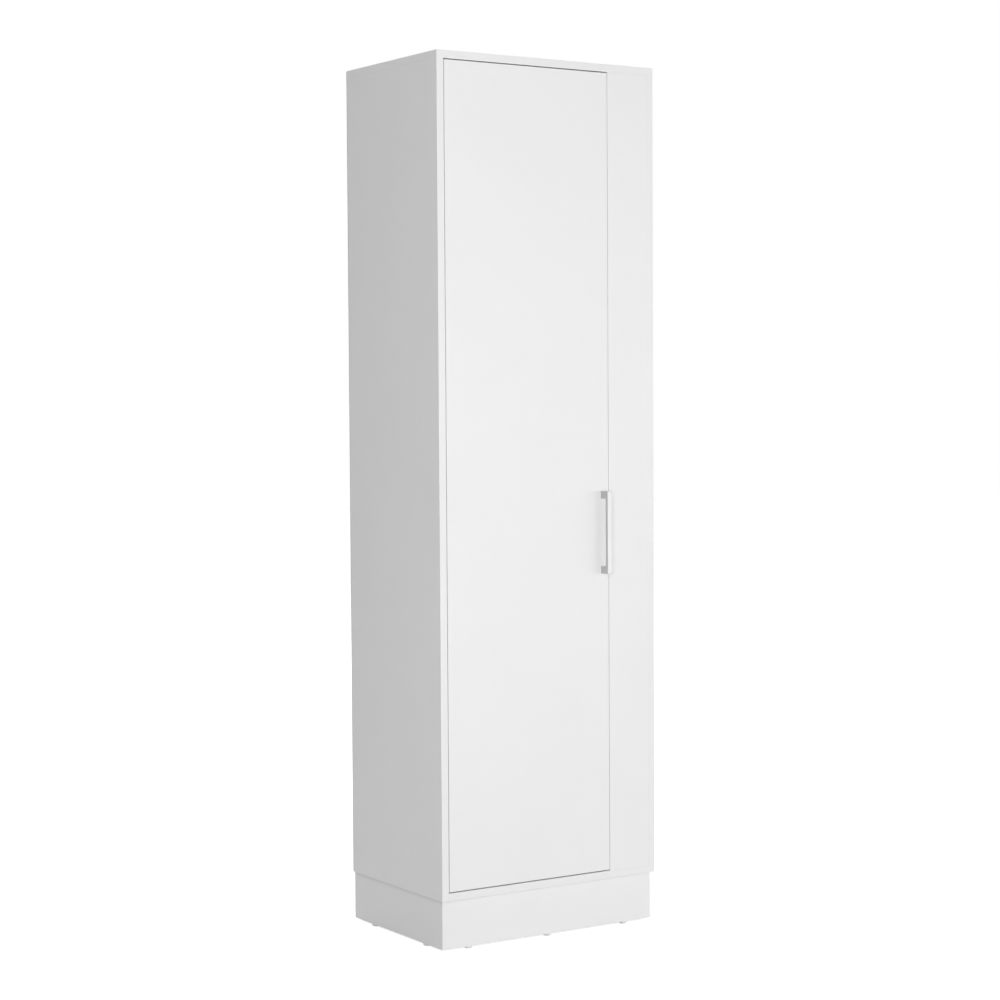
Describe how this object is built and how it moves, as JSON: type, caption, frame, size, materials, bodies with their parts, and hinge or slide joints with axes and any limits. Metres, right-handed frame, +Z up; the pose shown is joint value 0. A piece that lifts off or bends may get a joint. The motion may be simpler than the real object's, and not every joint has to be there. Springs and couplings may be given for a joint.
{
  "type": "broom cupboard",
  "caption": "Tall narrow white broom cupboard on a recessed plinth, with one flush hinged door, a bar handle and a fixed front strip beside it.",
  "frame": {"origin": "on the floor, under the centre of the cupboard's bounding box", "axes": "+X to the viewer's right, +Y from the front to the back, +Z up"},
  "size_m": [0.5, 0.3684, 1.7],
  "materials": {
    "white_melamine": "white melamine on particle board, fine matt, with white edge banding",
    "white_hardboard": "white lacquered hardboard, smooth on the room side",
    "satin_aluminium": "satin anodised",
    "beech": "turned beech with fine flutes",
    "zinc_plated_steel": "bright zinc plate",
    "nickelled_steel": "nickel plate",
    "zinc_die_cast": "dull die-cast zinc",
    "white_plastic": "moulded, fine matt",
    "grey_plastic": "moulded, fine matt",
    "ferrite": "dull sintered ferrite"
  },
  "bodies": {
    "carcass": {"back_panel": "white_hardboard", "back_panel_nails": "zinc_plated_steel", "bottom_panel": "white_melamine", "broom_clip_1": "grey_plastic", "broom_clip_2": "grey_plastic", "broom_clip_3": "grey_plastic", "broom_clip_4": "grey_plastic", "broom_clip_5": "grey_plastic", "broom_rail": "white_melamine", "cam_bolts": "zinc_plated_steel", "cam_locks": "zinc_die_cast", "catch_body_lower": "white_plastic", "catch_body_upper": "white_plastic", "catch_magnets": "ferrite", "catch_screws": "zinc_plated_steel", "clip_screws": "zinc_plated_steel", "divider_panel": "white_melamine", "dowels": "beech", "fixed_front_panel": "white_melamine", "fixed_panel_brackets": "zinc_plated_steel", "fixed_panel_screws": "zinc_plated_steel", "floor_glides": "white_plastic", "hinge_adjusters": "zinc_plated_steel", "hinge_arm_lower": "nickelled_steel", "hinge_arm_middle": "nickelled_steel", "hinge_arm_upper": "nickelled_steel", "hinge_plate_lower": "nickelled_steel", "hinge_plate_middle": "nickelled_steel", "hinge_plate_screws": "zinc_plated_steel", "hinge_plate_upper": "nickelled_steel", "left_side_panel": "white_melamine", "plinth_back": "white_melamine", "plinth_brackets": "zinc_plated_steel", "plinth_front": "white_melamine", "plinth_left": "white_melamine", "plinth_right": "white_melamine", "plinth_screws": "zinc_plated_steel", "right_side_panel": "white_melamine", "shelf_pins": "zinc_plated_steel", "side_shelf_1": "white_melamine", "side_shelf_2": "white_melamine", "side_shelf_3": "white_melamine", "top_panel": "white_melamine", "upper_shelf": "white_melamine", "wall_bracket_screws": "zinc_plated_steel", "wall_brackets": "zinc_plated_steel"},
    "door": {"door_panel": "white_melamine", "handle": "satin_aluminium", "handle_screws": "zinc_plated_steel", "hinge_cup_lower": "nickelled_steel", "hinge_cup_middle": "nickelled_steel", "hinge_cup_upper": "nickelled_steel", "hinge_cup_screws": "zinc_plated_steel", "hinge_pins": "zinc_plated_steel", "catch_strikes": "zinc_plated_steel", "strike_screws": "zinc_plated_steel"}
  },
  "joints": [
    {"name": "door_swing", "type": "hinge", "parent": "carcass", "child": "door", "pos_m": [-0.2115, -0.15375, 0.8995], "axis": [0, 0, -1], "range_deg": [0, 95]}
  ]
}
